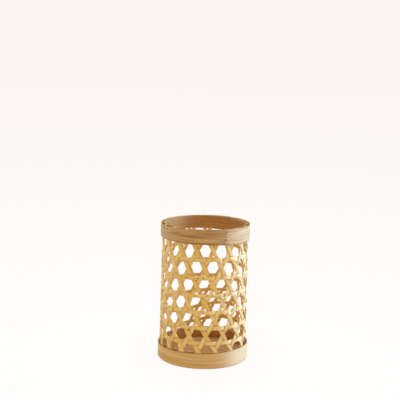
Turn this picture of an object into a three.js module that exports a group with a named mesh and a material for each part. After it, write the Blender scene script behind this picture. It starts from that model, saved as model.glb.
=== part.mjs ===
// Bamboo flower basket: a cylinder of split-bamboo strips in a three-way hexagonal weave,
// gripped at the rim and at the foot by pairs of bent hoops, with a wooden disc as its bottom.
// Millimetres, +Z up, origin at the middle of the foot. The front of the basket faces -Y.
import * as THREE from 'three';

// Overall size
const height = 185;
const rimDiameter = 120;
const footDiameter = 122.8;

// Hoops: bands bent round the wall, with their two ends thinned and lapped
const rimHoopHeight = 18.7;
const footHoopHeight = 21.7;
const hoopThickness = 1.6;
const lapLength = 26;
const lapEdge = 0.4;

// Where each hoop's lap ends on the side that shows, in degrees from the front towards +X
const rimOuterSeam = 28.5;
const rimInnerSeam = 141;
const footOuterSeam = 160;
const footInnerSeam = -75;

// Bottom
const discThickness = 7;
const discChamfer = 0.8;

// Weave: as many risers lean one way as the other, and the wefts run level between them
const riserCount = 16;
const meanRowHeight = 22.3;
const weftWidth = 5.2;
const riserWidth = 5.2;
const stripThickness = 0.8;
const firstWeftHeight = 14;
const lastWeftDepth = 15;
const rowGrowth = 0.87;
const stripEndInset = 1;

// Angles of the weave in degrees: the middle of an opening near the front, how far the pattern turns
// with each row, and how far it has crept round at the back, as a hand-woven wall does
const openingAngle = 2.7;
const rowTwist = -0.9;
const backCreep = 9;

// The lower rows tilt at the back: how far at most, down at the left and up at the right, and the
// height where the rows run level again
const backTiltHeight = 6.5;
const tiltReach = 92;

// Clearance between neighbouring pieces
const fitGap = 0.3;

// Facets round a full hoop and along one lap, and passes that find where two risers' edges meet
const hoopFacets = 48;
const lapFacets = 4;
const meetingPasses = 4;

const fullTurn = 2 * Math.PI;
const facetShrink = Math.cos(Math.PI / hoopFacets);
const { degToRad, lerp, clamp } = THREE.MathUtils;

// How far a strip swings in and out of the wall's middle surface
const swing = (stripThickness + fitGap) / 2;
const wallHalfThickness = swing + stripThickness / 2;

// The wall's middle surface tapers evenly from one outer hoop to the other
const insideHoop = (diameter) => (diameter / 2 - hoopThickness) * facetShrink - fitGap;
const rimWeaveRadius = insideHoop(rimDiameter) - wallHalfThickness;
const footWeaveRadius = insideHoop(footDiameter) - wallHalfThickness;
const weaveRadius = (z) => {
  const share = (z - footHoopHeight) / (height - rimHoopHeight - footHoopHeight);
  return lerp(footWeaveRadius, rimWeaveRadius, clamp(share, 0, 1));
};

// Rows: a weft sits at each whole number from 0, and each row is rowGrowth taller than the one below.
// A taller wall gets more rows.
const weaveSpan = height - lastWeftDepth - firstWeftHeight;
const rowSteps = Math.round(weaveSpan / meanRowHeight);
const firstRow = weaveSpan / rowSteps - (rowGrowth * (rowSteps - 1)) / 2;
const rowSlope = firstRow - rowGrowth / 2;
const rowHeight = (row) => firstWeftHeight + rowSlope * row + (rowGrowth * row * row) / 2;
const rowAt = (z) => {
  const rise = z - firstWeftHeight;
  return (2 * rise) / (rowSlope + Math.sqrt(rowSlope * rowSlope + 2 * rowGrowth * rise));
};

// Angles run from the front, -Y, towards +X. The creep and the tilt are added last, so every strip
// follows them.
const creep = degToRad(backCreep);
const wallAngle = (angle) => angle + creep * Math.sin(angle / 2) ** 2;
const wallStretch = (angle) => 1 + (creep / 2) * Math.sin(angle);

// Round the back the tilt follows sine times cosine squared, which is 2 / (3 * sqrt(3)) at its largest
const tiltRound = (turned) => 1.5 * Math.sqrt(3) * Math.sin(turned) * Math.max(-Math.cos(turned), 0) ** 2;
const tiltUp = (z) => Math.sin(Math.PI * clamp(z / tiltReach, 0, 1));
const rowTilt = (turned, z) => backTiltHeight * tiltRound(turned) * tiltUp(z);

// A riser moves on by half a pitch in every row, and by the twist of the pattern
const Lean = { right: 1, left: -1 };
const pitch = fullTurn / riserCount;
const turnPerRow = (lean) => (lean * pitch) / 2 + degToRad(rowTwist);
const riserAngle = (lean, index, z) => {
  const start = degToRad(openingAngle - (rowTwist * rowSteps) / 2) + (lean * pitch) / 4;
  return start + index * pitch + turnPerRow(lean) * rowAt(z);
};
const riserHalfSpan = (lean, angle, z) => {
  const arc = weaveRadius(z) * wallStretch(angle);
  const sideways = (arc * turnPerRow(lean)) / (rowSlope + rowGrowth * rowAt(z));
  return ((riserWidth / 2) * Math.hypot(1, sideways)) / arc;
};
const riserEdge = (lean, index, side, z) => {
  const middle = riserAngle(lean, index, z);
  return { angle: middle + side * riserHalfSpan(lean, middle, z), z };
};

// Which strip lies on the outside at a crossing: a right-leaning riser lies over a weft, a weft over
// a left-leaning riser, and a left-leaning riser over a right-leaning one
const levelAtWeft = (lean) => lean * swing;
const levelAtRiser = (lean) => -lean * swing;

const bamboo = (color) => new THREE.MeshStandardMaterial({ color, roughness: 0.55, metalness: 0 });

function wallPoint({ angle, z }, level) {
  const turned = wallAngle(angle);
  const tiltedZ = z + rowTilt(turned, z);
  const radius = weaveRadius(tiltedZ) + level;
  return [radius * Math.sin(turned), -radius * Math.cos(turned), tiltedZ];
}

// A flat strip through a list of stations. A station joins a point on the strip's first edge to one
// on its second edge, at one level above the wall's middle surface.
function ribbon(stations, closed) {
  const positions = [];
  for (const { first, second, level } of stations) {
    const outside = level + stripThickness / 2;
    const inside = level - stripThickness / 2;
    positions.push(...wallPoint(first, outside), ...wallPoint(second, outside));
    positions.push(...wallPoint(second, inside), ...wallPoint(first, inside));
  }
  const sides = 4;
  const indices = [];
  const quad = (a, b, c, d) => indices.push(a, b, c, a, c, d);
  const count = stations.length;
  const bays = closed ? count : count - 1;
  for (let bay = 0; bay < bays; bay++) {
    const here = bay * sides;
    const next = ((bay + 1) % count) * sides;
    for (let side = 0; side < sides; side++) {
      const other = (side + 1) % sides;
      quad(here + side, here + other, next + other, next + side);
    }
  }
  if (!closed) {
    const last = (count - 1) * sides;
    quad(3, 2, 1, 0);
    quad(last, last + 1, last + 2, last + 3);
  }
  const geometry = new THREE.BufferGeometry();
  geometry.setAttribute('position', new THREE.Float32BufferAttribute(positions, 3));
  geometry.setIndex(indices);
  return geometry;
}

// A riser climbs from the foot to the rim. At a weft its flat stretch ends on the weft's edges. At a
// riser of the other lean it ends on that riser's edges, so it is a diamond: the edge that trails
// meets it higher up than the edge that leads.
function riserGeometry(lean, index) {
  const station = (trailingZ, leadingZ, level) => {
    const [leftZ, rightZ] = lean === Lean.right ? [trailingZ, leadingZ] : [leadingZ, trailingZ];
    return { first: riserEdge(lean, index, -1, leftZ), second: riserEdge(lean, index, 1, rightZ), level };
  };
  const levelStation = (z, level) => station(z, z, level);
  const meetEdges = (row, ownSide, otherSide) => {
    let z = rowHeight(row);
    for (let pass = 0; pass < meetingPasses; pass++) {
      const angle = riserAngle(lean, index, z);
      const own = ownSide * riserHalfSpan(lean, angle, z);
      const other = otherSide * riserHalfSpan(-lean, angle, z);
      z = rowHeight(row + (own + other) / pitch);
    }
    return z;
  };
  const crossing = (row) => ({
    trailing: [meetEdges(row, 1, -1), meetEdges(row, 1, 1)],
    leading: [meetEdges(row, -1, -1), meetEdges(row, -1, 1)],
  });
  const weftLevel = levelAtWeft(lean);
  const riserLevel = levelAtRiser(lean);
  const footCrossingTop = crossing(-0.5).trailing[1];
  const rimCrossingFoot = crossing(rowSteps + 0.5).leading[0];
  const stations = [levelStation(stripEndInset, riserLevel), levelStation(footCrossingTop, riserLevel)];
  for (let row = 0; row <= rowSteps; row++) {
    const middle = rowHeight(row);
    stations.push(levelStation(middle - weftWidth / 2, weftLevel));
    stations.push(levelStation(middle + weftWidth / 2, weftLevel));
    if (row < rowSteps) {
      const { trailing, leading } = crossing(row + 0.5);
      stations.push(station(trailing[0], leading[0], riserLevel));
      stations.push(station(trailing[1], leading[1], riserLevel));
    }
  }
  stations.push(levelStation(rimCrossingFoot, riserLevel));
  stations.push(levelStation(height - stripEndInset, riserLevel));
  return ribbon(stations, false);
}

// A weft runs round the wall and is flat wherever a riser crosses it
function weftGeometry(row) {
  const middle = rowHeight(row);
  const low = middle - weftWidth / 2;
  const high = middle + weftWidth / 2;
  const crossings = [];
  for (let index = 0; index < riserCount; index++) {
    for (const lean of [Lean.left, Lean.right]) {
      const angle = riserAngle(lean, index, middle);
      const turns = Math.floor(angle / fullTurn);
      crossings.push({ lean, index, turns, place: angle - turns * fullTurn });
    }
  }
  crossings.sort((a, b) => a.place - b.place);
  const stations = [];
  for (const { lean, index, turns } of crossings) {
    const edgePoint = (side, z) => {
      const { angle } = riserEdge(lean, index, side, z);
      return { angle: angle - turns * fullTurn, z };
    };
    const level = -levelAtWeft(lean);
    for (const side of [-1, 1]) {
      stations.push({ first: edgePoint(side, high), second: edgePoint(side, low), level });
    }
  }
  return ribbon(stations, true);
}

// A bent band: seen from above, its outer end thins over its inner end along the lap
function hoopGeometry(outerRadius, bandHeight, seam, seamOutside) {
  const innerRadius = outerRadius - hoopThickness;
  const lap = lapLength / outerRadius;
  const slit = fitGap / innerRadius;
  const lapStart = degToRad(seam - 90) - (seamOutside ? lap : 0);
  const points = [];
  const sweep = (fromRadius, toRadius, fromAngle, toAngle, facets) => {
    for (let step = 0; step <= facets; step++) {
      const radius = lerp(fromRadius, toRadius, step / facets);
      const angle = lapStart + lerp(fromAngle, toAngle, step / facets);
      points.push(new THREE.Vector2(radius * Math.cos(angle), radius * Math.sin(angle)));
    }
  };
  const tongueRoot = hoopThickness - lapEdge - fitGap;
  sweep(outerRadius, outerRadius, lap + slit, fullTurn + lap, hoopFacets);
  sweep(outerRadius - lapEdge, outerRadius - tongueRoot, fullTurn + lap, fullTurn - slit, lapFacets);
  sweep(innerRadius, innerRadius, fullTurn - slit, 0, hoopFacets);
  sweep(innerRadius + lapEdge, innerRadius + tongueRoot, 0, lap + slit, lapFacets);
  return new THREE.ExtrudeGeometry(new THREE.Shape(points), { depth: bandHeight, bevelEnabled: false });
}

function discGeometry(radius) {
  const profile = [
    new THREE.Vector2(0, 0),
    new THREE.Vector2(radius - discChamfer, 0),
    new THREE.Vector2(radius, discChamfer),
    new THREE.Vector2(radius, discThickness),
    new THREE.Vector2(0, discThickness),
  ];
  return new THREE.LatheGeometry(profile, hoopFacets).rotateX(Math.PI / 2);
}

const basket = new THREE.Group();

function add(name, geometry, color, z = 0) {
  const mesh = new THREE.Mesh(geometry, bamboo(color));
  mesh.name = name;
  mesh.position.z = z;
  basket.add(mesh);
}

// Hoops, and the disc inside the foot's inner hoop
const rimInnerRadius = rimWeaveRadius - wallHalfThickness - fitGap;
const footInnerRadius = footWeaveRadius - wallHalfThickness - fitGap;
const discRadius = insideHoop(2 * footInnerRadius);
const rimZ = height - rimHoopHeight;
add('rim_outer_hoop', hoopGeometry(rimDiameter / 2, rimHoopHeight, rimOuterSeam, true), 0xb28454, rimZ);
add('rim_inner_hoop', hoopGeometry(rimInnerRadius, rimHoopHeight, rimInnerSeam, false), 0x965f32, rimZ);
add('foot_outer_hoop', hoopGeometry(footDiameter / 2, footHoopHeight, footOuterSeam, true), 0xcda06a);
add('foot_inner_hoop', hoopGeometry(footInnerRadius, footHoopHeight, footInnerSeam, false), 0x965f32);
add('base_disc', discGeometry(discRadius), 0xa57350);

// The weave
for (let row = 0; row <= rowSteps; row++) {
  add(`weft_${row + 1}`, weftGeometry(row), 0xd6aa5f);
}
for (let index = 0; index < riserCount; index++) {
  const number = String(index + 1).padStart(2, '0');
  add(`right_riser_${number}`, riserGeometry(Lean.right, index), 0xd6aa5f);
  add(`left_riser_${number}`, riserGeometry(Lean.left, index), 0xd8b06a);
}

export default basket;
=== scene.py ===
"""Dress the woven bamboo basket: its strips, hoops and base disc, in a plain studio.

Lengths are in metres. Angles round the wall run from the front, -Y, towards +X.
"""
import logging
import math
from dataclasses import dataclass, field, fields, replace
from enum import Enum
from typing import Any, Iterator, Mapping, Sequence, Tuple, Type, TypeVar, Union

import bmesh
import bpy
from mathutils import Matrix, Vector


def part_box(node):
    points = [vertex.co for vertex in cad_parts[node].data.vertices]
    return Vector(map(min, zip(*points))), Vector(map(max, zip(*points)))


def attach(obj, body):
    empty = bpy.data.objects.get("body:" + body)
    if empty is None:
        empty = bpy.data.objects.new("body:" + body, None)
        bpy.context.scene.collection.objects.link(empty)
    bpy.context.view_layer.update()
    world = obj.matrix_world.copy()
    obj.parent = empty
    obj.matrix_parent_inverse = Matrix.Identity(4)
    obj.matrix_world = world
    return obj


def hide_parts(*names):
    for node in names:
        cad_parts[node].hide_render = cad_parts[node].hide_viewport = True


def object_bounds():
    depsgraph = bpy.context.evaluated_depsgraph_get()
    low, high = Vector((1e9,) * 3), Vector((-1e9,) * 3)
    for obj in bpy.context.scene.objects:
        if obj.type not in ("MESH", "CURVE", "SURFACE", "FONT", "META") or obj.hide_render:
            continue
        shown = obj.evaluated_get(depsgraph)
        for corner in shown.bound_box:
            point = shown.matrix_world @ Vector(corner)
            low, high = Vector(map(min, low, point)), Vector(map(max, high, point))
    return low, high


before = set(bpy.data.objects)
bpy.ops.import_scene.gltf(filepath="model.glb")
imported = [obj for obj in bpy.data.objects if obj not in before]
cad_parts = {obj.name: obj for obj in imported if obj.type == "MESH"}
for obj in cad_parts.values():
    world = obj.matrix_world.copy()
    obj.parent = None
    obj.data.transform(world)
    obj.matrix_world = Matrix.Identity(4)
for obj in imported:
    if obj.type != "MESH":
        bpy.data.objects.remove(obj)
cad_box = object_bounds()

LOG = logging.getLogger("basket")
MM = 0.001
FULL_TURN = 2.0 * math.pi
TINY = 1e-6
BODY = "root"

Colour = Tuple[float, float, float, float]
Socket = bpy.types.NodeSocket
Material = bpy.types.Material
Piece = bpy.types.Object
Strip = Tuple[Piece, str]
Sizes = TypeVar("Sizes")
Number = Union[float, "Field"]
Value = Union[float, int, str, Colour, "Field", Socket, bpy.types.ID]


class Lean(Enum):
    """Which way a riser leans as it climbs, seen from outside."""

    RIGHT = 1
    LEFT = -1


class Slot(Enum):
    """The record's material slots."""

    WEAVE = "weave_bamboo"
    RIM = "rim_bamboo"
    FOOT = "foot_bamboo"
    INNER = "inner_bamboo"
    BASE = "base_wood"


class Coat(Enum):
    """Names of the attributes that a mesh carries for its finish."""

    FIBRE = "fibre"
    SKIN = "skin"
    LIFT = "lift"


def linear(code: str) -> Colour:
    """Turn a colour code into the linear colour that a shader takes.

    Args:
        code: Six hexadecimal digits, red first.

    Returns:
        Linear red, green and blue, and an alpha of 1.
    """
    shares = [int(code[start:start + 2], 16) / 255.0 for start in (0, 2, 4)]
    red, green, blue = (s / 12.92 if s <= 0.04045 else ((s + 0.055) / 1.055) ** 2.4 for s in shares)
    return red, green, blue, 1.0


def placed(name: str, data: bpy.types.ID) -> Piece:
    """Make an object of some data and link it to the scene.

    Args:
        name: The object's name.
        data: Its mesh, lamp or camera.

    Returns:
        The object.
    """
    made = bpy.data.objects.new(name, data)
    bpy.context.scene.collection.objects.link(made)
    return made


class Graph:
    """Adds nodes to one node tree and joins them."""

    def __init__(self, tree: bpy.types.NodeTree) -> None:
        """Keep the tree that the nodes go into."""
        self.tree = tree

    def node(self, kind: str, inputs: Mapping[Any, Value] = {}, **settings: Any) -> bpy.types.Node:
        """Add a node.

        Args:
            kind: The node's type name.
            inputs: Values or sockets for its inputs, by name or number.
            **settings: Values for its properties.

        Returns:
            The new node.
        """
        made = self.tree.nodes.new(kind)
        for name, setting in settings.items():
            setattr(made, name, setting)
        for key, value in inputs.items():
            self.plug(value, made.inputs[key])
        return made

    def plug(self, value: Value, socket: Socket) -> None:
        """Link a field or a socket to an input, or set the input to a plain value.

        Args:
            value: What the input takes.
            socket: The input.
        """
        if isinstance(value, Field):
            self.tree.links.new(value.socket, socket)
        elif isinstance(value, Socket):
            self.tree.links.new(value, socket)
        else:
            socket.default_value = value

    def vector(self, x: Number, y: Number, z: Number) -> Socket:
        """Join three numbers to a vector."""
        return self.node("ShaderNodeCombineXYZ", {"X": x, "Y": y, "Z": z}).outputs["Vector"]

    def parts(self, vector: Socket) -> Tuple["Field", ...]:
        """Split a vector into its three numbers."""
        split = self.node("ShaderNodeSeparateXYZ", {"Vector": vector})
        return tuple(Field(self, socket) for socket in split.outputs)

    def attribute(self, name: Coat) -> bpy.types.Node:
        """Read one of the mesh's attributes."""
        return self.node("ShaderNodeAttribute", attribute_name=name.value)

    def fibre(self) -> Tuple["Field", ...]:
        """The mesh's place along the fibre, across it, and its seed."""
        return self.parts(self.attribute(Coat.FIBRE).outputs["Vector"])

    def noise(self, vector: Socket, detail: float = 2.0, roughness: float = 0.5) -> "Field":
        """Sample smooth noise, about one bump to each unit of the vector.

        Args:
            vector: Where the noise is sampled.
            detail: How many finer layers are added.
            roughness: How strong the finer layers are.

        Returns:
            The noise, mostly from 0.25 to 0.75.
        """
        made = self.node("ShaderNodeTexNoise", {"Vector": vector, "Scale": 1.0, "Detail": detail,
                                                "Roughness": roughness})
        return Field(self, made.outputs["Fac"])

    def mix(self, share: Number, first: Value, second: Value) -> Socket:
        """Blend two colours: the first shows at share 0, the second at share 1."""
        inputs = {0: share, 6: first, 7: second}
        return self.node("ShaderNodeMix", inputs, data_type="RGBA", clamp_factor=True).outputs[2]


class Field:
    """A number that varies over a mesh or a surface, written with ordinary operators."""

    def __init__(self, graph: Graph, socket: Socket) -> None:
        """Keep the graph and the socket that gives the number."""
        self.graph = graph
        self.socket = socket

    def math(self, operation: str, *others: Number) -> "Field":
        """Add a Math node that works on this number and the others."""
        made = self.graph.node("ShaderNodeMath", dict(enumerate((self, *others))), operation=operation)
        return Field(self.graph, made.outputs["Value"])

    def __add__(self, other: Number) -> "Field":
        """Add."""
        return self.math("ADD", other)

    __radd__ = __add__

    def __mul__(self, other: Number) -> "Field":
        """Multiply."""
        return self.math("MULTIPLY", other)

    __rmul__ = __mul__

    def __neg__(self) -> "Field":
        """Change the sign."""
        return self.math("MULTIPLY", -1.0)

    def __sub__(self, other: Number) -> "Field":
        """Subtract."""
        return self.math("SUBTRACT", other)

    def __rsub__(self, other: Number) -> "Field":
        """Subtract this number from another."""
        return (-self).math("ADD", other)

    def __truediv__(self, other: Number) -> "Field":
        """Divide."""
        return self.math("DIVIDE", other)

    def sine(self) -> "Field":
        """The sine."""
        return self.math("SINE")

    def cosine(self) -> "Field":
        """The cosine."""
        return self.math("COSINE")

    def root(self) -> "Field":
        """The square root."""
        return self.math("SQRT")

    def size(self) -> "Field":
        """The number without its sign."""
        return self.math("ABSOLUTE")

    def nearest(self) -> "Field":
        """The nearest whole number."""
        return self.math("ROUND")

    def above(self, limit: Number) -> "Field":
        """1 above a limit, 0 below it."""
        return self.math("GREATER_THAN", limit)

    def at_least(self, limit: Number) -> "Field":
        """The number, or the limit where that is larger."""
        return self.math("MAXIMUM", limit)

    def within(self, low: Number, high: Number) -> "Field":
        """The number, held between two limits."""
        return self.math("MAXIMUM", low).math("MINIMUM", high)

    def fold(self, half: Number) -> "Field":
        """The distance to the nearest multiple of twice the given half period."""
        return self.math("PINGPONG", half)

    def eased(self, low: Number, high: Number) -> "Field":
        """Rise smoothly from 0 at one limit to 1 at the other.

        Args:
            low: Where the result is 0.
            high: Where the result is 1.

        Returns:
            The eased share.
        """
        inputs = {"Value": self, "From Min": low, "From Max": high}
        made = self.graph.node("ShaderNodeMapRange", inputs, interpolation_type="SMOOTHSTEP")
        return Field(self.graph, made.outputs["Result"])


@dataclass(frozen=True)
class Section:
    """A bar's section: a rectangle with eased edges, on points spread evenly round a circle."""

    sides: int
    steps: int
    width_gain: float
    thickness_gain: float


@dataclass
class Bar:
    """A straight bar before it is bent, with the place of each of its points on it."""

    mesh: Socket
    across: Field
    skin: Field
    share: Field


@dataclass
class WeaveSizes:
    """Sizes that all the strips of the wall share."""

    foot_radius: Number
    rim_radius: Number
    taper_low: Number
    taper_high: Number
    first_weft: Number
    row_slope: Number
    row_growth: Number
    last_row: Number
    pitch: Number
    right_start: Number
    right_turn: Number
    left_start: Number
    left_turn: Number
    creep: Number
    tilt: Number
    tilt_reach: Number
    riser_width: Number
    weft_width: Number
    strip_thickness: Number
    swing: Number
    flat_margin: Number
    wander: Number
    unevenness: Number


@dataclass
class RiserPlace:
    """Where one riser runs."""

    turn_on: Number
    bottom: Number
    top: Number
    seed: Number


@dataclass
class WeftPlace:
    """Where one weft runs, and the lap that joins its ends."""

    row: Number
    lap_start: Number
    lap: Number
    seed: Number


@dataclass
class HoopSizes:
    """Sizes of one bent hoop and of the lap that joins its ends."""

    outer_radius: Number
    thickness: Number
    bottom: Number
    top: Number
    lap_start: Number
    lap: Number
    low_droop: Number
    high_droop: Number
    raggedness: Number
    waviness: Number
    seed: Number


def shared(source: Any, size_class: type) -> Mapping[str, float]:
    """Pick the sizes of a class that a part of the basket holds under the same names."""
    names = [entry.name for entry in fields(size_class)]
    return {name: getattr(source, name) for name in names if hasattr(source, name)}


class WallRule:
    """The rule of the weave at any place on the wall, written as fields."""

    def __init__(self, graph: Graph, sizes: WeaveSizes) -> None:
        """Keep the sizes that the rule works from."""
        self.graph = graph
        self.sizes = sizes

    def row(self, height: Field) -> Field:
        """The row number at a height: whole at each weft."""
        rise, slope = height - self.sizes.first_weft, self.sizes.row_slope
        return 2.0 * rise / (slope + (slope * slope + 2.0 * self.sizes.row_growth * rise).root())

    def height(self, row: Field) -> Field:
        """The height of a row number."""
        sizes = self.sizes
        return sizes.first_weft + row * (sizes.row_slope + row * sizes.row_growth * 0.5)

    def radius(self, height: Field) -> Field:
        """Work out the radius of the wall's middle surface, which tapers between the hoops.

        Args:
            height: The height on the wall.

        Returns:
            The radius.
        """
        sizes = self.sizes
        share = ((height - sizes.taper_low) / (sizes.taper_high - sizes.taper_low)).within(0.0, 1.0)
        return sizes.foot_radius + (sizes.rim_radius - sizes.foot_radius) * share

    def arc(self, angle: Field, height: Field) -> Field:
        """The length along the wall of one radian of the pattern, which creeps towards the back."""
        return self.radius(height) * (angle.sine() * self.sizes.creep * 0.5 + 1.0)

    def family(self, lean: Lean) -> Tuple[Field, Field]:
        """Pick the sizes of the risers of one lean.

        Args:
            lean: The risers' lean.

        Returns:
            The first riser's angle at the first weft, and its turn in each row.
        """
        sizes = self.sizes
        if lean is Lean.RIGHT:
            return sizes.right_start, sizes.right_turn
        return sizes.left_start, sizes.left_turn

    def widening(self, lean: Lean, arc: Field, row: Field) -> Field:
        """How much wider a slanted riser is along the level than across its run.

        Args:
            lean: The riser's lean.
            arc: The length of one radian there.
            row: The row number there.

        Returns:
            The ratio, 1 or more.
        """
        sizes = self.sizes
        sideways = arc * self.family(lean)[1] / (sizes.row_slope + sizes.row_growth * row)
        return (sideways * sideways + 1.0).root()

    def gap_to_weft(self, height: Field, row: Field) -> Field:
        """How far a place lies outside the nearest weft's edge."""
        nearest = row.nearest().within(0.0, self.sizes.last_row)
        return (height - self.height(nearest)).size() - self.sizes.weft_width * 0.5

    def gap_to_riser(self, lean: Lean, angle: Field, height: Field, row: Field) -> Field:
        """How far a place lies outside the edge of the nearest riser of one lean.

        Args:
            lean: Which risers are looked at.
            angle: The place's angle in the pattern.
            height: The place's height.
            row: The row number at that height.

        Returns:
            The distance across the riser's run, negative on the riser itself.
        """
        start, turn = self.family(lean)
        arc = self.arc(angle, height)
        away = (angle - start - turn * row).fold(self.sizes.pitch * 0.5)
        return away * arc / self.widening(lean, arc, row) - self.sizes.riser_width * 0.5

    def level(self, over: Field, under: Field) -> Field:
        """How far a strip swings out of the wall's middle surface.

        Args:
            over: The distance to the strips that it lies over.
            under: The distance to the strips that it lies under.

        Returns:
            The swing: outwards on the first, inwards on the second, easing between them.
        """
        to_over = (over - self.sizes.flat_margin).at_least(0.0)
        to_under = (under - self.sizes.flat_margin).at_least(0.0)
        share = to_over / (to_over + to_under + TINY)
        return self.sizes.swing * (1.0 - 2.0 * share.eased(0.0, 1.0))

    def place(self, angle: Field, height: Field, out: Field) -> Socket:
        """Put a point of the pattern on the wall.

        Args:
            angle: Its angle in the pattern.
            height: Its height.
            out: Its distance outside the wall's middle surface.

        Returns:
            The point.
        """
        half_sine = (angle * 0.5).sine()
        turned = angle + half_sine * half_sine * self.sizes.creep
        tilted = height + self.row_tilt(turned, height)
        radius = self.radius(tilted) + out
        return self.graph.vector(radius * turned.sine(), -(radius * turned.cosine()), tilted)

    def row_tilt(self, turned: Field, height: Field) -> Field:
        """How far the lower rows tilt at the back: down at the left and up at the right.

        Args:
            turned: The angle on the wall.
            height: The height in the pattern.

        Returns:
            The rise.
        """
        back = (-turned.cosine()).at_least(0.0)
        share = ((height / self.sizes.tilt_reach).within(0.0, 1.0) * math.pi).sine()
        return self.sizes.tilt * share * turned.sine() * back * back


def lapped(along: Field, lap: Number, edge: float, slit: float) -> Tuple[Field, Field]:
    """Share a band's thickness between its two ends where they lap.

    Args:
        along: The angle along the band from the start of its lower end.
        lap: The angle of the lap.
        edge: A thinned end's share of the thickness.
        slit: The share of the thickness left open between the ends.

    Returns:
        The band's inner and outer face there, from 0 inside to 1 outside.
    """
    root = 1.0 - edge - slit
    first = along / lap
    past_first = first.above(1.0)
    tongue = edge + (root - edge) * first
    outer = tongue + (1.0 - tongue) * past_first
    last = (along - FULL_TURN) / lap
    inner = last.above(0.0) * (1.0 - root + (root - edge) * last)
    return inner, outer


class BentTree:
    """A Geometry Nodes tree that bends a straight bar with eased edges into one kind of piece."""

    smooth_angle = math.radians(40.0)

    def __init__(self, name: str, *size_classes: type) -> None:
        """Make a tree whose inputs are the fields of the size classes, and a material.

        Args:
            name: The tree's name.
            *size_classes: The classes whose fields become its inputs.
        """
        self.tree = bpy.data.node_groups.new(name, "GeometryNodeTree")
        self.graph = Graph(self.tree)
        for size_class in size_classes:
            for entry in fields(size_class):
                self.tree.interface.new_socket(entry.name, in_out="INPUT", socket_type="NodeSocketFloat")
        self.tree.interface.new_socket("material", in_out="INPUT", socket_type="NodeSocketMaterial")
        self.tree.interface.new_socket("mesh", in_out="OUTPUT", socket_type="NodeSocketGeometry")
        self.entry = self.graph.node("NodeGroupInput")

    def sizes(self, size_class: Type[Sizes]) -> Sizes:
        """Read a size class from the tree's inputs."""
        return size_class(**{entry.name: Field(self.graph, self.entry.outputs[entry.name])
                             for entry in fields(size_class)})

    def bar(self, section: Section) -> Bar:
        """Add the straight bar.

        Args:
            section: The bar's section and its steps.

        Returns:
            The bar, 1 long, with its width and thickness from -1 to 1.
        """
        inputs = {"Vertices": section.sides, "Side Segments": section.steps, "Radius": 1.0, "Depth": 1.0}
        cylinder = self.graph.node("GeometryNodeMeshCylinder", inputs, fill_type="NGON")
        x, y, z = self.graph.parts(self.graph.node("GeometryNodeInputPosition").outputs["Position"])
        across = (x * section.width_gain).within(-1.0, 1.0)
        skin = (y * section.thickness_gain).within(-1.0, 1.0)
        return Bar(cylinder.outputs["Mesh"], across, skin, z + 0.5)

    def bend(self, bar: Bar, point: Socket, fibre: Socket, lift: Number) -> None:
        """Move the bar's points to their places and finish the tree.

        Args:
            bar: The straight bar.
            point: Where each point goes.
            fibre: Each point's place along the fibre, across it, and the piece's seed.
            lift: How far the piece stands out there, from -1, under its neighbours, to 1, over them.
        """
        graph = self.graph
        mesh = bar.mesh
        coats = ((Coat.FIBRE, "FLOAT_VECTOR", fibre), (Coat.SKIN, "FLOAT", bar.skin),
                 (Coat.LIFT, "FLOAT", lift))
        for name, kind, value in coats:
            inputs = {"Geometry": mesh, "Name": name.value, "Value": value}
            store = graph.node("GeometryNodeStoreNamedAttribute", inputs, data_type=kind, domain="POINT")
            mesh = store.outputs["Geometry"]
        moved = graph.node("GeometryNodeSetPosition", {"Geometry": mesh, "Position": point})
        angle = Field(graph, graph.node("GeometryNodeInputMeshEdgeAngle").outputs["Unsigned Angle"])
        inputs = {"Geometry": moved.outputs["Geometry"],
                  "Shade Smooth": 1.0 - angle.above(self.smooth_angle)}
        smooth = graph.node("GeometryNodeSetShadeSmooth", inputs, domain="EDGE")
        whole = graph.node("GeometryNodeRealizeInstances", {"Geometry": smooth.outputs["Geometry"]})
        inputs = {"Geometry": whole.outputs["Geometry"], "Material": self.entry.outputs["material"]}
        dressed = graph.node("GeometryNodeSetMaterial", inputs)
        graph.node("NodeGroupOutput", {"mesh": dressed.outputs["Geometry"]})

    def make(self, name: str, material: Material, *sizes: Any) -> Piece:
        """Run the tree and keep its result as a plain mesh.

        Args:
            name: The piece's name.
            material: The piece's material.
            *sizes: Values for the tree's inputs.

        Returns:
            The finished piece, at the origin.
        """
        piece = placed(name, bpy.data.meshes.new(name))
        modifier = piece.modifiers.new(self.tree.name, "NODES")
        modifier.node_group = self.tree
        identifiers = {item.name: item.identifier for item in self.tree.interface.items_tree
                       if item.in_out == "INPUT"}
        for size in sizes:
            for entry in fields(size):
                modifier[identifiers[entry.name]] = float(getattr(size, entry.name))
        modifier[identifiers["material"]] = material
        depsgraph = bpy.context.evaluated_depsgraph_get()
        mesh = bpy.data.meshes.new_from_object(piece.evaluated_get(depsgraph), depsgraph=depsgraph,
                                               preserve_all_data_layers=True)
        piece.modifiers.clear()
        piece.data = mesh
        mesh.name = name
        return piece


class StripTree(BentTree):
    """What risers and wefts share: their width is uneven, and they wander a little."""

    section = Section(sides=16, steps=168, width_gain=1.04, thickness_gain=2.2)
    swell_pace: float
    wander_pace: float
    swell_seed = 2.1

    def offset(self, weave: WeaveSizes, across: Field, place: Field, seed: Field) -> Field:
        """How far a point lies from the middle of its strip's run, for its place on an even strip."""
        swell = (place * self.swell_pace + seed * self.swell_seed).sine() * weave.unevenness + 1.0
        return across * swell + weave.wander * (place * self.wander_pace + seed).sine()


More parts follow.
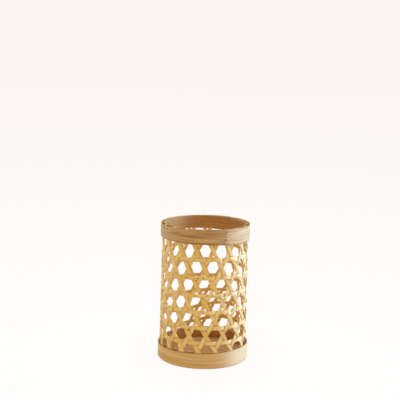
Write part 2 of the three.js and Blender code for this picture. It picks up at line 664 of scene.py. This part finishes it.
class RiserTree(StripTree):
    """Bends a bar into a riser that climbs the wall, over and under the strips that it crosses."""

    # How far the swelling and the wandering go on in each row, in radians.
    swell_pace = 1.7
    wander_pace = 2.3

    def __init__(self, lean: Lean) -> None:
        """Build the tree.

        Args:
            lean: The lean of the risers that it makes.
        """
        super().__init__(f"{lean.name.lower()}_riser", WeaveSizes, RiserPlace)
        weave = self.sizes(WeaveSizes)
        riser = self.sizes(RiserPlace)
        rule = WallRule(self.graph, weave)
        bar = self.bar(self.section)
        height = riser.bottom + (riser.top - riser.bottom) * bar.share
        row = rule.row(height)
        start, turn = rule.family(lean)
        middle = start + riser.turn_on + turn * row
        arc = rule.arc(middle, height)
        widening = rule.widening(lean, arc, row)
        offset = self.offset(weave, bar.across * weave.riser_width * 0.5, row, riser.seed)
        angle = middle - offset * widening / arc
        to_weft = rule.gap_to_weft(height, row)
        to_other = rule.gap_to_riser(Lean(-lean.value), angle, height, row)
        if lean is Lean.RIGHT:
            level = rule.level(over=to_weft, under=to_other)
        else:
            level = rule.level(over=to_other, under=to_weft)
        point = rule.place(angle, height, level + bar.skin * weave.strip_thickness * 0.5)
        fibre = self.graph.vector(height * widening, offset, riser.seed)
        self.bend(bar, point, fibre, level / weave.swing)


class WeftTree(StripTree):
    """Bends a bar into a weft that runs level round the wall, with its ends lapped."""

    section = replace(StripTree.section, steps=384)
    # How often the strip swells and wanders in one turn round the wall.
    swell_pace = 4.0
    wander_pace = 3.0
    lap_edge = 0.25
    lap_slit = 0.08

    def __init__(self) -> None:
        """Build the tree."""
        super().__init__("weft", WeaveSizes, WeftPlace)
        weave = self.sizes(WeaveSizes)
        weft = self.sizes(WeftPlace)
        rule = WallRule(self.graph, weave)
        bar = self.bar(self.section)
        along = (weft.lap + FULL_TURN) * bar.share
        angle = weft.lap_start + along
        offset = self.offset(weave, bar.across * weave.weft_width * 0.5, angle, weft.seed)
        height = rule.height(weft.row) + offset
        row = rule.row(height)
        level = rule.level(over=rule.gap_to_riser(Lean.LEFT, angle, height, row),
                           under=rule.gap_to_riser(Lean.RIGHT, angle, height, row))
        inner, outer = lapped(along, weft.lap, self.lap_edge, self.lap_slit)
        depth = inner + (outer - inner) * (bar.skin + 1.0) * 0.5
        point = rule.place(angle, height, level + (depth - 0.5) * weave.strip_thickness)
        fibre = self.graph.vector(angle * rule.radius(height), offset, weft.seed)
        self.bend(bar, point, fibre, level / weave.swing)


class HoopTree(BentTree):
    """Bends a bar into a hoop whose thinned ends lap, with more steps near the lap."""

    section = Section(sides=40, steps=300, width_gain=1.03, thickness_gain=2.6)
    lap_edge = 0.25
    lap_slit = 0.18
    crowding = 0.7
    tears = 9.0
    tip_start = 0.985
    slow_waves = 5.0
    quick_waves = 11.0

    def __init__(self) -> None:
        """Build the tree."""
        super().__init__("hoop", HoopSizes)
        hoop = self.sizes(HoopSizes)
        graph = self.graph
        bar = self.bar(self.section)
        spread = bar.share - (bar.share * FULL_TURN).sine() * (self.crowding / FULL_TURN)
        level = (bar.across + 1.0) * 0.5
        tear = graph.noise(graph.vector(level * self.tears, hoop.seed, 0.0)) - 0.5
        tip = bar.share.eased(self.tip_start, 1.0) * hoop.raggedness / hoop.outer_radius
        along = (hoop.lap + FULL_TURN) * spread + tear * tip
        angle = hoop.lap_start + along
        slow = (angle * self.slow_waves + hoop.seed).sine()
        wave = slow + (angle * self.quick_waves + hoop.seed * 2.0).sine()
        width = (hoop.top - hoop.bottom) * level
        height = hoop.bottom + width - bar.across * hoop.waviness * (1.0 + wave * 0.5)
        right = angle.sine() * 0.5 + 0.5
        left = 1.0 - right
        height = height - hoop.low_droop * right * right * (1.0 - level)
        height = height - hoop.high_droop * left * left * level
        inner, outer = lapped(along, hoop.lap, self.lap_edge, self.lap_slit)
        depth = inner + (outer - inner) * (bar.skin + 1.0) * 0.5
        radius = hoop.outer_radius + (depth - 1.0) * hoop.thickness
        point = graph.vector(radius * angle.sine(), -(radius * angle.cosine()), height)
        fibre = graph.vector(along * hoop.outer_radius, width, hoop.seed)
        self.bend(bar, point, fibre, 1.0)


class ShaderGroup:
    """A shader node group with named inputs and outputs, for effects that several finishes use."""

    def __init__(self, name: str, inputs: Sequence[str], outputs: Sequence[str]) -> None:
        """Make an empty group.

        Args:
            name: The group's name.
            inputs: Its inputs' names.
            outputs: Its outputs' names.
        """
        self.tree = bpy.data.node_groups.new(name, "ShaderNodeTree")
        self.graph = Graph(self.tree)
        for entry in inputs:
            self.tree.interface.new_socket(entry, in_out="INPUT", socket_type="NodeSocketFloat")
        for entry in outputs:
            self.tree.interface.new_socket(entry, in_out="OUTPUT", socket_type="NodeSocketFloat")
        source = self.graph.node("NodeGroupInput")
        self.inputs = {entry: Field(self.graph, source.outputs[entry]) for entry in inputs}
        self.sink = self.graph.node("NodeGroupOutput")

    def put_out(self, **values: Field) -> None:
        """Link the group's results to its outputs."""
        for name, value in values.items():
            self.graph.plug(value, self.sink.inputs[name])

    def place(self, graph: Graph, **values: float) -> Mapping[str, Field]:
        """Place the group in a material.

        Args:
            graph: The material's graph.
            **values: The group's inputs.

        Returns:
            Its outputs by name.
        """
        made = graph.node("ShaderNodeGroup", node_tree=self.tree)
        for name, value in values.items():
            graph.plug(value, made.inputs[name])
        return {socket.name: Field(graph, socket) for socket in made.outputs}


@dataclass(frozen=True)
class GrainLayer:
    """A layer of the grain: how much shorter and narrower than the streaks, its seed and its detail."""

    shorter: float
    narrower: float
    seed_gain: float
    detail: float


class GrainGroup(ShaderGroup):
    """Fibres along a piece: broad streaks, fine threads and lines, and one tone for each piece."""

    streaks = GrainLayer(shorter=1.0, narrower=1.0, seed_gain=7.3, detail=3.0)
    threads = GrainLayer(shorter=1.7, narrower=4.5, seed_gain=3.1, detail=2.0)
    rings = GrainLayer(shorter=0.7, narrower=1.1, seed_gain=1.9, detail=1.0)
    streak_limits = (0.36, 0.64)
    thread_limits = (0.38, 0.62)
    ring_count = 4.0
    line_width = 0.22
    line_ground = 0.35
    streak_relief = 0.3
    thread_relief = 0.5
    line_relief = 0.4

    def __init__(self) -> None:
        """Build the group."""
        super().__init__("fibre_grain", ("length", "width"),
                         ("streak", "thread", "line", "tone", "relief"))
        graph = self.graph
        along, across, seed = graph.fibre()
        broad, fine, rings = (self.layer(layer, along, across, seed)
                              for layer in (self.streaks, self.threads, self.rings))
        chance = graph.node("ShaderNodeTexWhiteNoise", {"W": seed}, noise_dimensions="1D")
        streak = broad.eased(*self.streak_limits)
        thread = fine.eased(*self.thread_limits)
        ring = 1.0 - (rings * self.ring_count).fold(0.5).eased(0.0, self.line_width)
        line = ring * (self.line_ground + (1.0 - self.line_ground) * thread)
        relief = streak * self.streak_relief + thread * self.thread_relief - line * self.line_relief
        self.put_out(streak=streak, thread=thread, line=line, relief=relief,
                     tone=Field(graph, chance.outputs["Value"]))

    def layer(self, layer: GrainLayer, along: Field, across: Field, seed: Field) -> Field:
        """Sample the noise of one layer.

        Args:
            layer: The layer.
            along: The place along the fibre.
            across: The place across it.
            seed: The piece's seed.

        Returns:
            The noise.
        """
        length = along / self.inputs["length"] * layer.shorter
        width = across / self.inputs["width"] * layer.narrower
        return self.graph.noise(self.graph.vector(length, width, seed * layer.seed_gain), layer.detail)


class FaceGroup(ShaderGroup):
    """Which part of a strip shows: a cut edge, the face that looks inwards, or a covered stretch, which
    gets painted shade.
    """

    edge_end = 0.75
    inside_full = 0.6
    sunk_end = -0.2

    def __init__(self) -> None:
        """Build the group."""
        super().__init__("strip_faces", (), ("edge", "inside", "sunk"))
        skin, lift = (Field(self.graph, self.graph.attribute(name).outputs["Fac"])
                      for name in (Coat.SKIN, Coat.LIFT))
        # The last output marks where painted shade goes: where a strip dips under the strips that cross
        # it.
        self.put_out(edge=1.0 - skin.size().eased(self.edge_end, 1.0),
                     inside=(-skin).eased(0.0, self.inside_full),
                     sunk=1.0 - lift.eased(-1.0, self.sunk_end))


class FleckGroup(ShaderGroup):
    """Small dark flecks and nicks in the fibre."""

    seed_gain = 5.9
    blur = 0.06

    def __init__(self) -> None:
        """Build the group."""
        super().__init__("dark_flecks", ("length", "width", "rarity"), ("fleck",))
        graph = self.graph
        along, across, seed = graph.fibre()
        length, width, rarity = (self.inputs[name] for name in ("length", "width", "rarity"))
        spot = graph.vector(along / length, across / width, seed * self.seed_gain)
        self.put_out(fleck=graph.noise(spot, detail=1.0).eased(rarity, rarity + self.blur))


@dataclass
class Effects:
    """The shader groups that the finishes share."""

    grain: GrainGroup = field(default_factory=GrainGroup)
    faces: FaceGroup = field(default_factory=FaceGroup)
    flecks: FleckGroup = field(default_factory=FleckGroup)


@dataclass(frozen=True)
class PaleAndPaintedLightStretch:
    """A paler stretch of a hoop, by its length from the end that lies inside the lap. Besides paler wood,
    it paints light and sheen onto hoops.
    """

    scar_length = 2.4 * MM
    scar_width = 1.5 * MM
    scar_full = 6.0 * MM
    scar_end = 18.0 * MM
    scar_gain = 0.14
    scar_limits = (0.58, 0.66)
    scar_share = 0.9
    scar_line_share = 0.7

    colour: str
    start: float
    full: float
    fade: float
    end: float
    share: float
    scar: str = ""

    def amount(self, along: Field) -> Field:
        """How pale the band is along its length, from 0 to 1."""
        return along.eased(self.start, self.full) * (1.0 - along.eased(self.fade, self.end))

    def mixed(self, graph: Graph, along: Field, across: Field, line: Field, colour: Socket) -> Socket:
        """Mix the pale stretch into a hoop's colour, with torn fibres where it comes out of the lap.

        Args:
            graph: The material's graph.
            along: The place along the hoop.
            across: The place across it.
            line: The grain's fine lines.
            colour: The hoop's colour elsewhere.

        Returns:
            The colour with the pale stretch in it.
        """
        pale = self.amount(along)
        mixed = graph.mix(pale * self.share, colour, linear(self.colour))
        if self.scar:
            spot = graph.vector(along / self.scar_length, across / self.scar_width, 0.0)
            near = 1.0 - along.eased(self.full + self.scar_full, self.full + self.scar_end)
            rough = graph.noise(spot, detail=3.0, roughness=0.6) + near * self.scar_gain
            torn = rough.eased(*self.scar_limits)
            mixed = graph.mix(torn * pale * near * self.scar_share, mixed, linear(self.scar))
            mixed = graph.mix(line * pale * self.scar_line_share, mixed, linear(self.scar))
        return mixed


@dataclass(frozen=True)
class BambooFinish:
    """The look of one kind of split bamboo or wood, with its fibres along the piece."""

    name: str
    ground: str
    streak: str
    thread: str
    line: str
    shade: str
    inside: str
    edge: str
    fleck: str
    streak_length: float
    streak_width: float
    streak_share: float
    coat: float
    thread_share: float = 0.35
    line_share: float = 0.3
    tone_share: float = 0.35
    inside_share: float = 0.7
    edge_share: float = 0.8
    fleck_rarity: float = 0.74
    roughness: float = 0.8
    edge_roughness: float = 0.95
    specular: float = 0.0
    coat_roughness: float = 0.75
    relief: float = 0.06 * MM
    # Painted shade, laid where a strip dips under the strips that cross it.
    sunk: str = ""
    sunk_share: float = 0.4
    # Painted shade along a band's lower edge, where less light reaches from below.
    lower: str = ""
    lower_width: float = 2.6 * MM
    # Paler stretches of a hoop; most of them are painted light and painted sheen.
    pales: Tuple[PaleAndPaintedLightStretch, ...] = ()
    fleck_length = 2.2 * MM
    fleck_width = 0.8 * MM
    fleck_share = 0.8
    lower_share = 0.7
    bump_strength = 0.7
    relief_roughness = 0.15
    relief_middle = 0.07

    def colour(self, graph: Graph, effects: Effects) -> Tuple[Socket, Field, Field]:
        """Work out the finish's colour.

        Args:
            graph: The material's graph.
            effects: The shared shader groups.

        Returns:
            The colour, the height of the relief, and a share that is 0 on cut edges and 1 elsewhere.
        """
        grain = effects.grain.place(graph, length=self.streak_length, width=self.streak_width)
        faces = effects.faces.place(graph)
        flecks = effects.flecks.place(graph, length=self.fleck_length, width=self.fleck_width,
                                      rarity=self.fleck_rarity)
        along, across, _ = graph.fibre()
        colour = graph.mix(grain["streak"] * self.streak_share, linear(self.ground), linear(self.streak))
        colour = graph.mix(grain["thread"] * self.thread_share, colour, linear(self.thread))
        colour = graph.mix(grain["tone"] * self.tone_share, colour, linear(self.shade))
        # Painted shade: darker where the strip dips under its neighbours, as shade falls there.
        if self.sunk:
            colour = graph.mix(faces["sunk"] * self.sunk_share, colour, linear(self.sunk))
        colour = graph.mix(grain["line"] * self.line_share, colour, linear(self.line))
        edge = linear(self.edge)
        # Paler stretches, mostly painted light and painted sheen, reach the cut edges too.
        for pale in self.pales:
            colour = pale.mixed(graph, along, across, grain["line"], colour)
            edge = graph.mix(pale.amount(along) * pale.share, edge, linear(pale.colour))
        colour = graph.mix(faces["inside"] * self.inside_share, colour, linear(self.inside))
        # Painted shade: darker along the lower edge, where less light reaches.
        if self.lower:
            low = 1.0 - across.eased(0.0, self.lower_width)
            colour = graph.mix(low * self.lower_share, colour, linear(self.lower))
        colour = graph.mix(faces["edge"] * self.edge_share, colour, edge)
        colour = graph.mix(flecks["fleck"] * self.fleck_share, colour, linear(self.fleck))
        return colour, grain["relief"], 1.0 - faces["edge"]

    def material(self, effects: Effects) -> Material:
        """Make the material.

        Args:
            effects: The shared shader groups.

        Returns:
            The material.
        """
        made = bpy.data.materials.new(self.name)
        made.use_nodes = True
        graph = Graph(made.node_tree)
        colour, relief, whole = self.colour(graph, effects)
        shader = made.node_tree.nodes["Principled BSDF"]
        bump = graph.node("ShaderNodeBump", {"Strength": self.bump_strength, "Distance": self.relief,
                                             "Height": relief})
        rough = relief * self.relief_roughness + (self.roughness - self.relief_middle)
        sockets = {"Base Color": colour, "Normal": bump.outputs["Normal"],
                   "Roughness": self.edge_roughness + (rough - self.edge_roughness) * whole,
                   "Specular IOR Level": self.specular,
                   "Coat Weight": whole * self.coat, "Coat Roughness": self.coat_roughness}
        for name, value in sockets.items():
            graph.plug(value, shader.inputs[name])
        return made


# The strips' darkest colour is painted shade, laid where they dip under the strips that cross them.
RISER_FINISH = BambooFinish(
    name="riser_bamboo", ground="F6D276", streak="D49A32", thread="FDE69A", line="A87028",
    shade="E2AC44", inside="EEBE56", edge="F8E09A", fleck="7A4A1C", sunk="B87A20",
    streak_length=45.0 * MM, streak_width=1.8 * MM, streak_share=0.75, thread_share=0.45, tone_share=0.45,
    inside_share=0.8, fleck_rarity=0.78, coat=0.9, coat_roughness=0.8)
WEFT_FINISH = replace(RISER_FINISH, name="weft_bamboo", coat=1.0, coat_roughness=0.65)
# The rim and foot bands' lower colour is painted shade along their lower edge.
RIM_FINISH = BambooFinish(
    name="rim_band", ground="DEAE6C", streak="905A24", thread="DAB06C", line="56300E", shade="B88648",
    inside="A87A4A", edge="C29A66", fleck="5A3414", lower="8E5A26", streak_length=100.0 * MM,
    streak_width=2.3 * MM, streak_share=0.9, line_share=0.95, coat=0.5,
    # The first paler stretch is the band's paler end where it comes out of the lap, carried on over the
    # right side as painted sheen; the second is painted sheen on the left side.
    pales=(PaleAndPaintedLightStretch("ECCE9C", 18.0 * MM, 20.0 * MM, 44.0 * MM, 135.0 * MM, share=0.77, scar="96622C"),
           PaleAndPaintedLightStretch("DCB67E", 250.0 * MM, 290.0 * MM, 320.0 * MM, 365.0 * MM, share=0.35)))
FOOT_FINISH = BambooFinish(
    name="foot_band", ground="E3B870", streak="B9843E", thread="ECC682", line="906028", shade="D6A660",
    inside="B88C56", edge="B98440", fleck="7A5024", lower="B98440", streak_length=130.0 * MM,
    streak_width=2.4 * MM, streak_share=0.6, thread_share=0.25, line_share=0.5, coat=0.75,
    # The paler stretch over the foot band's right side is painted sheen, where the lamp's gloss falls.
    pales=(PaleAndPaintedLightStretch("F2DBB0", 258.0 * MM, 294.0 * MM, 300.0 * MM, 350.0 * MM, share=0.85),))
INNER_FINISH = BambooFinish(
    name="inner_band", ground="C08A50", streak="865424", thread="D4A254", line="643810", shade="AE7834",
    inside="B0793E", edge="E4C490", fleck="4A2810", streak_length=90.0 * MM, streak_width=2.4 * MM,
    streak_share=0.7, line_share=0.55, inside_share=0.3, coat=0.35,
    # The paler stretch on the basket's left inside is painted light, where light from the right falls.
    pales=(PaleAndPaintedLightStretch("F0C88E", 55.0 * MM, 88.0 * MM, 112.0 * MM, 150.0 * MM, share=0.75),))
FOOT_INNER_FINISH = replace(
    INNER_FINISH, name="foot_inner_band", ground="C8904C", streak="8C5820", inside="B87E3A",
    # This paler stretch on the left inside is painted light as well.
    pales=(PaleAndPaintedLightStretch("E2AE68", 265.0 * MM, 300.0 * MM, 345.0 * MM, 380.0 * MM, share=0.6),))
BASE_FINISH = BambooFinish(
    name="disc_wood", ground="ECC494", streak="C08A58", thread="E4BA84", line="7C4A28", shade="C4925C",
    inside="A87854", edge="B98E60", fleck="5C3820", streak_length=60.0 * MM, streak_width=3.0 * MM,
    streak_share=0.75, line_share=0.5, coat=0.1)


def publish(piece: Piece, node: str, slot: Slot) -> None:
    """Seat a finished piece in the frame in place of its node.

    Args:
        piece: The finished piece.
        node: The node that it stands for.
        slot: Not used.
    """
    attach(piece, BODY)
    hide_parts(node)
    LOG.info("%s: %d faces, for %s", piece.name, len(piece.data.polygons), node)


@dataclass
class Weave:
    """The wall: wefts that run level, and risers that lean right and left."""

    riser_count: int = 16
    weft_count: int = 8
    riser_width: float = 4.8 * MM
    weft_width: float = 5.0 * MM
    strip_thickness: float = 0.95 * MM
    swing: float = 0.55 * MM
    flat_margin: float = 0.2 * MM
    wander: float = 0.35 * MM
    unevenness: float = 0.06
    bottom_inset: float = 1.0 * MM
    top_inset: float = 0.3 * MM
    foot_radius: float = 58.42 * MM
    rim_radius: float = 57.02 * MM
    opening_angle: float = 2.7
    row_twist: float = -0.9
    back_creep: float = 9.0
    back_tilt: float = 6.5 * MM
    tilt_reach: float = 92.0 * MM
    level_row: int = 5
    lapped_riser: int = 8
    # Scales the tilt's form, a sine times a squared cosine, to a peak of 1.
    tilt_gain = 1.5 * math.sqrt(3.0)

    def sizes(self) -> WeaveSizes:
        """Take the upper rows' heights from the frame and work out the sizes that the strips share.

        Returns:
            The shared sizes.
        """
        row = self.level_row
        boxes = [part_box(f"weft_{row + number + 1}") for number in range(3)]
        heights = [(low.z + high.z) / 2.0 for low, high in boxes]
        growth = heights[2] - 2.0 * heights[1] + heights[0]
        slope = heights[1] - heights[0] - growth * (row + 0.5)
        last_row = self.weft_count - 1
        pitch = FULL_TURN / self.riser_count
        start = math.radians(self.opening_angle - self.row_twist * last_row / 2.0)
        twist = math.radians(self.row_twist)
        return WeaveSizes(
            taper_low=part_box("foot_outer_hoop")[1].z, taper_high=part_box("rim_outer_hoop")[0].z,
            first_weft=heights[0] - row * (slope + row * growth / 2.0),
            row_slope=slope, row_growth=growth, last_row=last_row, pitch=pitch,
            right_start=start + pitch / 4.0, right_turn=twist + pitch / 2.0,
            left_start=start - pitch / 4.0, left_turn=twist - pitch / 2.0,
            creep=math.radians(self.back_creep), tilt=self.back_tilt * self.tilt_gain,
            **shared(self, WeaveSizes))

    def wefts(self, sizes: WeaveSizes, material: Material) -> Iterator[Strip]:
        """Make the strips that run level.

        Args:
            sizes: The shared sizes.
            material: The strips' material.

        Yields:
            Each strip and its node's name.
        """
        weft_tree = WeftTree()
        for row in range(self.weft_count):
            lap_end = sizes.right_start + sizes.right_turn * row + self.lapped_riser * sizes.pitch
            lap = sizes.pitch / 2.0
            place = WeftPlace(row=row, lap_start=lap_end - lap, lap=lap, seed=row + 1)
            node = f"weft_{row + 1}"
            yield weft_tree.make(f"{node}_strip", material, sizes, place), node

    def risers(self, sizes: WeaveSizes, material: Material) -> Iterator[Strip]:
        """Make the strips that climb.

        Args:
            sizes: The shared sizes.
            material: The strips' material.

        Yields:
            Each strip and its node's name.
        """
        top = cad_box[1].z - self.top_inset
        for lean in Lean:
            riser_tree = RiserTree(lean)
            for number in range(self.riser_count):
                place = RiserPlace(turn_on=number * sizes.pitch, bottom=self.bottom_inset, top=top,
                                   seed=self.weft_count + (number + 1) * 2 + lean.value)
                node = f"{lean.name.lower()}_riser_{number + 1:02d}"
                yield riser_tree.make(f"{node}_strip", material, sizes, place), node

    def dress(self, effects: Effects) -> None:
        """Build the strips in their finishes and seat them.

        Args:
            effects: The shared shader groups.
        """
        sizes = self.sizes()
        for piece, node in self.wefts(sizes, WEFT_FINISH.material(effects)):
            publish(piece, node, Slot.WEAVE)
        for piece, node in self.risers(sizes, RISER_FINISH.material(effects)):
            publish(piece, node, Slot.WEAVE)


@dataclass
class Hoop:
    """One bent band at the rim or the foot."""

    node: str
    slot: Slot
    finish: BambooFinish
    outer_radius: float
    seam: float
    seam_outside: bool
    seed: int
    raised: float = 0.0
    low_droop: float = 0.0
    high_droop: float = 0.0
    thickness: float = 1.6 * MM
    lap_length: float = 26.0 * MM
    raggedness: float = 7.0 * MM
    waviness: float = 0.12 * MM

    def build(self, tree: HoopTree, material: Material) -> Piece:
        """Make the hoop between its node's lowest and highest point.

        Args:
            tree: The tree that bends hoops.
            material: The hoop's material.

        Returns:
            The hoop.
        """
        low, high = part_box(self.node)
        lap = self.lap_length / self.outer_radius
        lap_start = math.radians(self.seam) - (lap if self.seam_outside else 0.0)
        sizes = HoopSizes(bottom=low.z + self.raised, top=high.z, lap_start=lap_start, lap=lap,
                          **shared(self, HoopSizes))
        return tree.make(f"{self.node}_band", material, sizes)

    def dress(self, tree: HoopTree, effects: Effects) -> None:
        """Build the hoop in its finish and seat it."""
        publish(self.build(tree, self.finish.material(effects)), self.node, self.slot)


@dataclass
class HoopSet:
    """The two pairs of hoops that grip the weave."""

    rim_radius: float = 60.0 * MM
    foot_radius: float = 61.4 * MM
    rim_inner_radius: float = 55.77 * MM
    foot_inner_radius: float = 57.17 * MM

    def hoops(self) -> Iterator[Hoop]:
        """List the hoops.

        Yields:
            Each of the four hoops.
        """
        yield Hoop("rim_outer_hoop", Slot.RIM, RIM_FINISH, self.rim_radius, seam=26.0,
                   seam_outside=True, seed=3, low_droop=2.9 * MM, high_droop=1.0 * MM)
        yield Hoop("rim_inner_hoop", Slot.INNER, INNER_FINISH, self.rim_inner_radius, seam=141.0,
                   seam_outside=False, seed=5, raised=1.3 * MM)
        yield Hoop("foot_outer_hoop", Slot.FOOT, FOOT_FINISH, self.foot_radius, seam=160.0,
                   seam_outside=True, seed=7, high_droop=2.6 * MM)
        yield Hoop("foot_inner_hoop", Slot.INNER, FOOT_INNER_FINISH, self.foot_inner_radius, seam=-75.0,
                   seam_outside=False, seed=9)

    def dress(self, effects: Effects) -> None:
        """Build the hoops in their finishes and seat them.

        Args:
            effects: The shared shader groups.
        """
        tree = HoopTree()
        for hoop in self.hoops():
            hoop.dress(tree, effects)


@dataclass
class BaseDisc:
    """The wooden disc that closes the bottom."""

    node: str = "base_disc"
    radius: float = 55.15 * MM
    lower_chamfer: float = 0.8 * MM
    upper_ease: float = 0.4 * MM
    flat_share: float = 0.6
    sides: int = 144
    seed: float = 11.0

    def build(self, material: Material) -> Piece:
        """Turn the disc's outline round its axis.

        Args:
            material: The disc's material.

        Returns:
            The disc.
        """
        low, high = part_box(self.node)
        outline = [(self.radius - self.lower_chamfer, low.z, -1.0),
                   (self.radius, low.z + self.lower_chamfer, 0.0),
                   (self.radius, high.z - self.upper_ease, 0.0),
                   (self.radius - self.upper_ease, high.z, 1.0),
                   (self.radius * self.flat_share, high.z, 1.0)]
        shape = bmesh.new()
        fibre = shape.verts.layers.float_vector.new(Coat.FIBRE.value)
        skin = shape.verts.layers.float.new(Coat.SKIN.value)
        rings = []
        for radius, height, side in outline:
            ring = []
            for step in range(self.sides):
                angle = FULL_TURN * step / self.sides
                corner = shape.verts.new((radius * math.sin(angle), -radius * math.cos(angle), height))
                corner[fibre] = Vector((corner.co.x, corner.co.y, self.seed))
                corner[skin] = side
                ring.append(corner)
            rings.append(ring)
        for below, above in zip(rings, rings[1:]):
            for step in range(self.sides):
                after = (step + 1) % self.sides
                shape.faces.new((below[step], below[after], above[after], above[step]))
        shape.faces.new(rings[-1])
        shape.faces.new(rings[0][::-1])
        mesh = bpy.data.meshes.new(f"{self.node}_wood")
        shape.to_mesh(mesh)
        shape.free()
        mesh.materials.append(material)
        return placed(mesh.name, mesh)

    def dress(self, effects: Effects) -> None:
        """Build the disc in its finish and seat it."""
        publish(self.build(BASE_FINISH.material(effects)), self.node, Slot.BASE)


@dataclass
class Studio:
    """A pale floor, soft light and the camera."""

    picture_size: float = 400.0
    focal_length: float = 852.1
    camera_place: Tuple[float, float, float] = (5.81 * MM, -1130.9 * MM, 389.9 * MM)
    pitch: float = 8.80
    roll: float = 1.41
    yaw: float = -0.71
    sensor_width: float = 36.0
    floor_half: float = 14.0
    floor_drop: float = 0.1 * MM
    floor_fade: float = 1.2
    fade_start: float = 0.15
    floor_colour: str = "EAEAEC"
    floor_roughness: float = 0.9
    shadow_share: float = 0.282
    floor_lift: float = 0.815
    near_colour: str = "FFFFFF"
    far_colour: str = "FAF4F0"
    ambient: float = 1.03
    frontal: float = 0.15
    dim_sides: float = 0.55
    dim_lean: float = 0.1
    right_power: float = 266.0
    right_bearing: float = 101.0
    left_power: float = 36.0
    left_bearing: float = -128.0
    lamp_colour: str = "ECFFFC"
    lamp_size: float = 1.3
    lamp_height: float = 4.0
    lamp_distance: float = 1.2

    def camera(self) -> None:
        """Set the camera where it sees the basket at the picture's angle."""
        pitch, roll, yaw = (math.radians(angle) for angle in (self.pitch, self.roll, self.yaw))
        flat = math.cos(pitch)
        forward = Vector((math.sin(yaw) * flat, math.cos(yaw) * flat, -math.sin(pitch)))
        level = Vector((math.cos(yaw), -math.sin(yaw), 0.0))
        rise = level.cross(forward)
        right = math.cos(roll) * level + math.sin(roll) * rise
        up = math.cos(roll) * rise - math.sin(roll) * level
        lens = bpy.data.cameras.new("camera")
        lens.sensor_width = self.sensor_width
        lens.lens = self.sensor_width * self.focal_length / self.picture_size
        camera = placed("camera", lens)
        turn = Matrix((right, up, -forward)).transposed().to_4x4()
        camera.matrix_world = Matrix.Translation(self.camera_place) @ turn
        bpy.context.scene.camera = camera

    @staticmethod
    def seen(graph: Graph) -> Field:
        """Tell the rays that show the studio to the camera from those that light the basket.

        Args:
            graph: The graph of the floor's or the world's shader.

        Returns:
            1 for rays that come straight, mirrored or through glass, else 0.
        """
        path = graph.node("ShaderNodeLightPath")
        straight, mirrored, through = (Field(graph, path.outputs[f"Is {kind} Ray"])
                                       for kind in ("Camera", "Glossy", "Transmission"))
        return (straight + mirrored + through).within(0.0, 1.0)

    def floor_material(self) -> Material:
        """Make the floor's material: white near the basket, fading to the backdrop's colour.

        Returns:
            The material.
        """
        made = bpy.data.materials.new("pale_floor")
        made.use_nodes = True
        graph = Graph(made.node_tree)
        x, y, _ = graph.parts(graph.node("ShaderNodeTexCoord").outputs["Object"])
        away = ((x * x + y * y).root() - self.fade_start).at_least(0.0)
        fade = away / (away + self.floor_fade)
        shader = made.node_tree.nodes["Principled BSDF"]
        graph.plug(linear(self.floor_colour), shader.inputs["Base Color"])
        graph.plug(self.floor_roughness, shader.inputs["Roughness"])
        graph.plug(0.0, shader.inputs["Specular IOR Level"])
        dim = (*(self.shadow_share * part for part in linear(self.floor_colour)[:3]), 1.0)
        soft = graph.node("ShaderNodeBsdfDiffuse", {"Color": dim})
        white = graph.node("ShaderNodeEmission",
                           {"Color": linear(self.near_colour), "Strength": self.floor_lift})
        near = graph.node("ShaderNodeAddShader", {0: soft.outputs["BSDF"], 1: white.outputs["Emission"]})
        glow = graph.node("ShaderNodeEmission", {"Color": linear(self.far_colour), "Strength": 1.0})
        shown = graph.node("ShaderNodeMixShader",
                           {0: fade, 1: near.outputs[0], 2: glow.outputs["Emission"]})
        out = graph.node("ShaderNodeMixShader",
                         {0: self.seen(graph), 1: shader.outputs["BSDF"], 2: shown.outputs[0]})
        graph.plug(out.outputs[0], made.node_tree.nodes["Material Output"].inputs["Surface"])
        return made

    def floor(self) -> None:
        """Lay the floor just under the basket."""
        sides = ((-1.0, -1.0), (1.0, -1.0), (1.0, 1.0), (-1.0, 1.0))
        corners = [(x * self.floor_half, y * self.floor_half, -self.floor_drop) for x, y in sides]
        mesh = bpy.data.meshes.new("floor")
        mesh.from_pydata(corners, [], [(0, 1, 2, 3)])
        mesh.materials.append(self.floor_material())
        floor = placed("floor", mesh)

    def world(self) -> None:
        """Light from all round, less from the sides and least from the right, and a pale backdrop."""
        world = bpy.data.worlds.new("studio")
        world.use_nodes = True
        graph = Graph(world.node_tree)
        background = world.node_tree.nodes["Background"]
        graph.plug(linear(self.far_colour), background.inputs["Color"])
        sideways, toward_back, _ = graph.parts(graph.node("ShaderNodeTexCoord").outputs["Generated"])
        side = sideways + self.dim_lean
        light = self.ambient * (1.0 - toward_back * self.frontal) * (1.0 - side * side * self.dim_sides)
        graph.plug(light + (1.0 - light) * self.seen(graph), background.inputs["Strength"])
        bpy.context.scene.world = world

    def lamp(self, name: str, power: float, bearing: float) -> None:
        """Hang a sheet of light beside the basket, which shows in the gloss of the bamboo's skin.

        Args:
            name: The lamp's name.
            power: Its power, in watts.
            bearing: Where it hangs, in degrees from the front towards the right.
        """
        light = bpy.data.lights.new(name, "AREA")
        light.shape = "DISK"
        light.size = self.lamp_size
        light.energy = power
        light.color = linear(self.lamp_colour)[:3]
        turn, rise = math.radians(bearing), math.radians(self.lamp_height)
        flat = math.cos(rise)
        toward = Vector((math.sin(turn) * flat, -math.cos(turn) * flat, math.sin(rise)))
        middle = (cad_box[0] + cad_box[1]) / 2.0
        lamp = placed(name, light)
        lamp.location = middle + toward * self.lamp_distance
        lamp.rotation_euler = toward.to_track_quat("Z", "Y").to_euler()
        lamp.visible_diffuse = False

    def build(self) -> None:
        """Set up the studio."""
        self.camera()
        self.floor()
        self.world()
        self.lamp("right_sheen", self.right_power, self.right_bearing)
        self.lamp("left_sheen", self.left_power, self.left_bearing)
        bpy.context.scene.view_settings.view_transform = "Standard"


def main() -> None:
    """Build the basket in its finishes, then the studio round it."""
    logging.basicConfig(level=logging.INFO, format="%(name)s: %(message)s")
    effects = Effects()
    HoopSet().dress(effects)
    BaseDisc().dress(effects)
    Weave().dress(effects)
    Studio().build()


if __name__ == "__main__":
    main()
